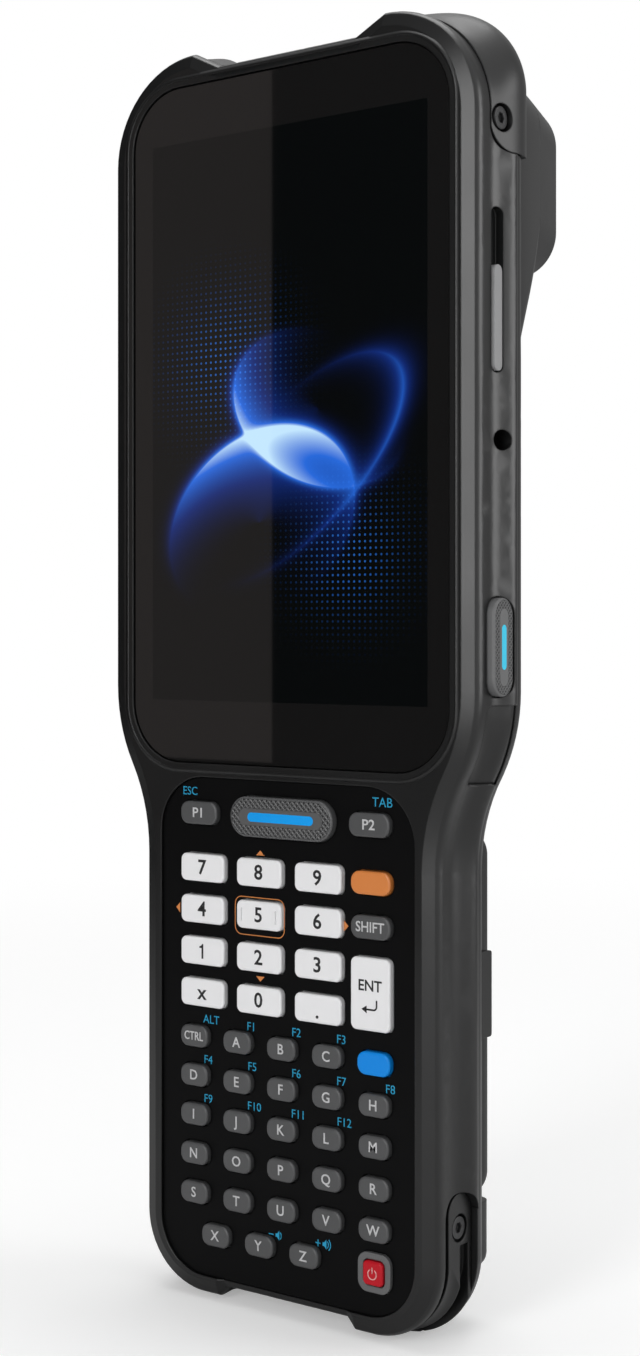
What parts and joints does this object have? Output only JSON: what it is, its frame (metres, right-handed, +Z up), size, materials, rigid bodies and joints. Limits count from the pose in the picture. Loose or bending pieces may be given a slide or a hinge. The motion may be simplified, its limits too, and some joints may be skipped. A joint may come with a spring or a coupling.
{
  "type": "portable barcode data terminal",
  "caption": "Upright handheld data terminal with a recessed display, a full keypad, side scan triggers, corner caps, a rear scan head and a slide-off battery.",
  "frame": {"origin": "middle of the footprint, at the lowest point of the bottom corner caps", "axes": "+Z up along the length, -Y out of the display, +X to the user's right when the display is faced"},
  "size_m": [0.0766, 0.0386, 0.2093],
  "materials": {
    "battery_case": "satin moulded",
    "blue_key": "smooth",
    "blue_light_bar": "clear blue light guide",
    "circuit_board": "solder mask",
    "corner_cap": "satin, slightly rubbery",
    "cover_glass": "polished, printed black at the back",
    "cyan_light_bar": "clear cyan light guide",
    "dark_steel": "blackened",
    "display_panel": "dark panel",
    "engine_black": "matt",
    "front_shell": "satin moulded, fine spark texture",
    "gold_contact": "plated",
    "grey_key": "satin",
    "grey_silicone": "matt",
    "hood_plastic": "satin moulded",
    "keypad_black": "satin black film",
    "latch_plastic": "satin moulded",
    "orange_key": "smooth",
    "rear_shell": "satin moulded, fine spark texture",
    "red_key": "smooth",
    "scan_glass": "polished, dark red",
    "seal_rubber": "matt",
    "side_trigger_grey": "soft, fine knurl",
    "switch_grey": "satin",
    "white_key": "smooth"
  },
  "bodies": {
    "case": {"battery_contacts": "gold_contact", "cap_screws": "dark_steel", "corner_cap_bottom_left": "corner_cap", "corner_cap_bottom_right": "corner_cap", "corner_cap_top_left": "corner_cap", "corner_cap_top_right": "corner_cap", "display_module": "display_panel", "display_window": "cover_glass", "dock_contacts": "gold_contact", "front_housing": "front_shell", "housing_gasket": "seal_rubber", "keypad_board": "circuit_board", "keypad_mat": "grey_silicone", "keypad_panel": "keypad_black", "main_board": "circuit_board", "power_key_ring": "grey_key", "rear_housing": "rear_shell", "rear_screws": "dark_steel", "scan_engine": "engine_black", "scan_engine_bracket": "dark_steel", "scan_hood": "hood_plastic", "scan_window": "scan_glass", "speaker": "engine_black", "trigger_switches": "engine_black"},
    "front_scan_key": {"scan_key": "grey_key", "scan_key_light_bar": "blue_light_bar"},
    "hand_trigger_right": {"side_trigger_right": "side_trigger_grey", "side_trigger_light_bar_right": "cyan_light_bar"},
    "hand_trigger_left": {"side_trigger_left": "side_trigger_grey", "side_trigger_light_bar_left": "cyan_light_bar"},
    "control_switch": {"slide_switch": "switch_grey"},
    "battery": {"battery_pack": "battery_case"},
    "latch_right": {"battery_latch_right": "latch_plastic"},
    "latch_left": {"battery_latch_left": "latch_plastic"},
    "key_0_body": {"key_0": "white_key"},
    "key_1_body": {"key_1": "white_key"},
    "key_2_body": {"key_2": "white_key"},
    "key_3_body": {"key_3": "white_key"},
    "key_4_body": {"key_4": "white_key"},
    "key_5_body": {"key_5": "white_key"},
    "key_6_body": {"key_6": "white_key"},
    "key_7_body": {"key_7": "white_key"},
    "key_8_body": {"key_8": "white_key"},
    "key_9_body": {"key_9": "white_key"},
    "key_blue_body": {"key_blue": "blue_key"},
    "key_enter_body": {"key_enter": "white_key"},
    "key_orange_body": {"key_orange": "orange_key"},
    "key_p1_body": {"key_p1": "grey_key"},
    "key_p2_body": {"key_p2": "grey_key"},
    "key_point_body": {"key_point": "white_key"},
    "key_shift_body": {"key_shift": "grey_key"},
    "key_x_body": {"key_x": "white_key"},
    "power_key_body": {"power_key": "red_key"},
    "letter_keys_row_1_body": {"letter_keys_row_1": "grey_key"},
    "letter_keys_row_2_body": {"letter_keys_row_2": "grey_key"},
    "letter_keys_row_3_body": {"letter_keys_row_3": "grey_key"},
    "letter_keys_row_4_body": {"letter_keys_row_4": "grey_key"},
    "letter_keys_row_5_body": {"letter_keys_row_5": "grey_key"},
    "letter_keys_row_6_body": {"letter_keys_row_6": "grey_key"}
  },
  "joints": [
    {"name": "front_scan_key_press", "type": "slide", "parent": "case", "child": "front_scan_key", "axis": [0, 1, 0], "range_m": [0, 0.0008], "stiffness_N_per_m": 300},
    {"name": "hand_trigger_right_press", "type": "slide", "parent": "case", "child": "hand_trigger_right", "axis": [-1, 0, 0], "range_m": [0, 0.0008], "stiffness_N_per_m": 600},
    {"name": "hand_trigger_left_press", "type": "slide", "parent": "case", "child": "hand_trigger_left", "axis": [1, 0, 0], "range_m": [0, 0.0008], "stiffness_N_per_m": 600},
    {"name": "control_switch_slide", "type": "slide", "parent": "case", "child": "control_switch", "axis": [0, 0, 1], "range_m": [0, 0.0086]},
    {"name": "battery_pack_slide", "type": "slide", "parent": "case", "child": "battery", "axis": [0, 1, 0], "range_m": [0, 0.014]},
    {"name": "battery_latch_right_press", "type": "slide", "parent": "battery", "child": "latch_right", "axis": [-1, 0, 0], "range_m": [0, 0.0014], "stiffness_N_per_m": 600},
    {"name": "battery_latch_left_press", "type": "slide", "parent": "battery", "child": "latch_left", "axis": [1, 0, 0], "range_m": [0, 0.0014], "stiffness_N_per_m": 600},
    {"name": "key_0_press", "type": "slide", "parent": "case", "child": "key_0_body", "axis": [0, 1, 0], "range_m": [0, 0.0008], "stiffness_N_per_m": 300},
    {"name": "key_1_press", "type": "slide", "parent": "case", "child": "key_1_body", "axis": [0, 1, 0], "range_m": [0, 0.0008], "stiffness_N_per_m": 300},
    {"name": "key_2_press", "type": "slide", "parent": "case", "child": "key_2_body", "axis": [0, 1, 0], "range_m": [0, 0.0008], "stiffness_N_per_m": 300},
    {"name": "key_3_press", "type": "slide", "parent": "case", "child": "key_3_body", "axis": [0, 1, 0], "range_m": [0, 0.0008], "stiffness_N_per_m": 300},
    {"name": "key_4_press", "type": "slide", "parent": "case", "child": "key_4_body", "axis": [0, 1, 0], "range_m": [0, 0.0008], "stiffness_N_per_m": 300},
    {"name": "key_5_press", "type": "slide", "parent": "case", "child": "key_5_body", "axis": [0, 1, 0], "range_m": [0, 0.0008], "stiffness_N_per_m": 300},
    {"name": "key_6_press", "type": "slide", "parent": "case", "child": "key_6_body", "axis": [0, 1, 0], "range_m": [0, 0.0008], "stiffness_N_per_m": 300},
    {"name": "key_7_press", "type": "slide", "parent": "case", "child": "key_7_body", "axis": [0, 1, 0], "range_m": [0, 0.0008], "stiffness_N_per_m": 300},
    {"name": "key_8_press", "type": "slide", "parent": "case", "child": "key_8_body", "axis": [0, 1, 0], "range_m": [0, 0.0008], "stiffness_N_per_m": 300},
    {"name": "key_9_press", "type": "slide", "parent": "case", "child": "key_9_body", "axis": [0, 1, 0], "range_m": [0, 0.0008], "stiffness_N_per_m": 300},
    {"name": "key_blue_press", "type": "slide", "parent": "case", "child": "key_blue_body", "axis": [0, 1, 0], "range_m": [0, 0.0008], "stiffness_N_per_m": 300},
    {"name": "key_enter_press", "type": "slide", "parent": "case", "child": "key_enter_body", "axis": [0, 1, 0], "range_m": [0, 0.0008], "stiffness_N_per_m": 300},
    {"name": "key_orange_press", "type": "slide", "parent": "case", "child": "key_orange_body", "axis": [0, 1, 0], "range_m": [0, 0.0008], "stiffness_N_per_m": 300},
    {"name": "key_p1_press", "type": "slide", "parent": "case", "child": "key_p1_body", "axis": [0, 1, 0], "range_m": [0, 0.0008], "stiffness_N_per_m": 300},
    {"name": "key_p2_press", "type": "slide", "parent": "case", "child": "key_p2_body", "axis": [0, 1, 0], "range_m": [0, 0.0008], "stiffness_N_per_m": 300},
    {"name": "key_point_press", "type": "slide", "parent": "case", "child": "key_point_body", "axis": [0, 1, 0], "range_m": [0, 0.0008], "stiffness_N_per_m": 300},
    {"name": "key_shift_press", "type": "slide", "parent": "case", "child": "key_shift_body", "axis": [0, 1, 0], "range_m": [0, 0.0008], "stiffness_N_per_m": 300},
    {"name": "key_x_press", "type": "slide", "parent": "case", "child": "key_x_body", "axis": [0, 1, 0], "range_m": [0, 0.0008], "stiffness_N_per_m": 300},
    {"name": "power_key_press", "type": "slide", "parent": "case", "child": "power_key_body", "axis": [0, 1, 0], "range_m": [0, 0.0008], "stiffness_N_per_m": 300},
    {"name": "letter_row_1_press", "type": "slide", "parent": "case", "child": "letter_keys_row_1_body", "axis": [0, 1, 0], "range_m": [0, 0.0008], "stiffness_N_per_m": 300},
    {"name": "letter_row_2_press", "type": "slide", "parent": "case", "child": "letter_keys_row_2_body", "axis": [0, 1, 0], "range_m": [0, 0.0008], "stiffness_N_per_m": 300},
    {"name": "letter_row_3_press", "type": "slide", "parent": "case", "child": "letter_keys_row_3_body", "axis": [0, 1, 0], "range_m": [0, 0.0008], "stiffness_N_per_m": 300},
    {"name": "letter_row_4_press", "type": "slide", "parent": "case", "child": "letter_keys_row_4_body", "axis": [0, 1, 0], "range_m": [0, 0.0008], "stiffness_N_per_m": 300},
    {"name": "letter_row_5_press", "type": "slide", "parent": "case", "child": "letter_keys_row_5_body", "axis": [0, 1, 0], "range_m": [0, 0.0008], "stiffness_N_per_m": 300},
    {"name": "letter_row_6_press", "type": "slide", "parent": "case", "child": "letter_keys_row_6_body", "axis": [0, 1, 0], "range_m": [0, 0.0008], "stiffness_N_per_m": 300}
  ]
}
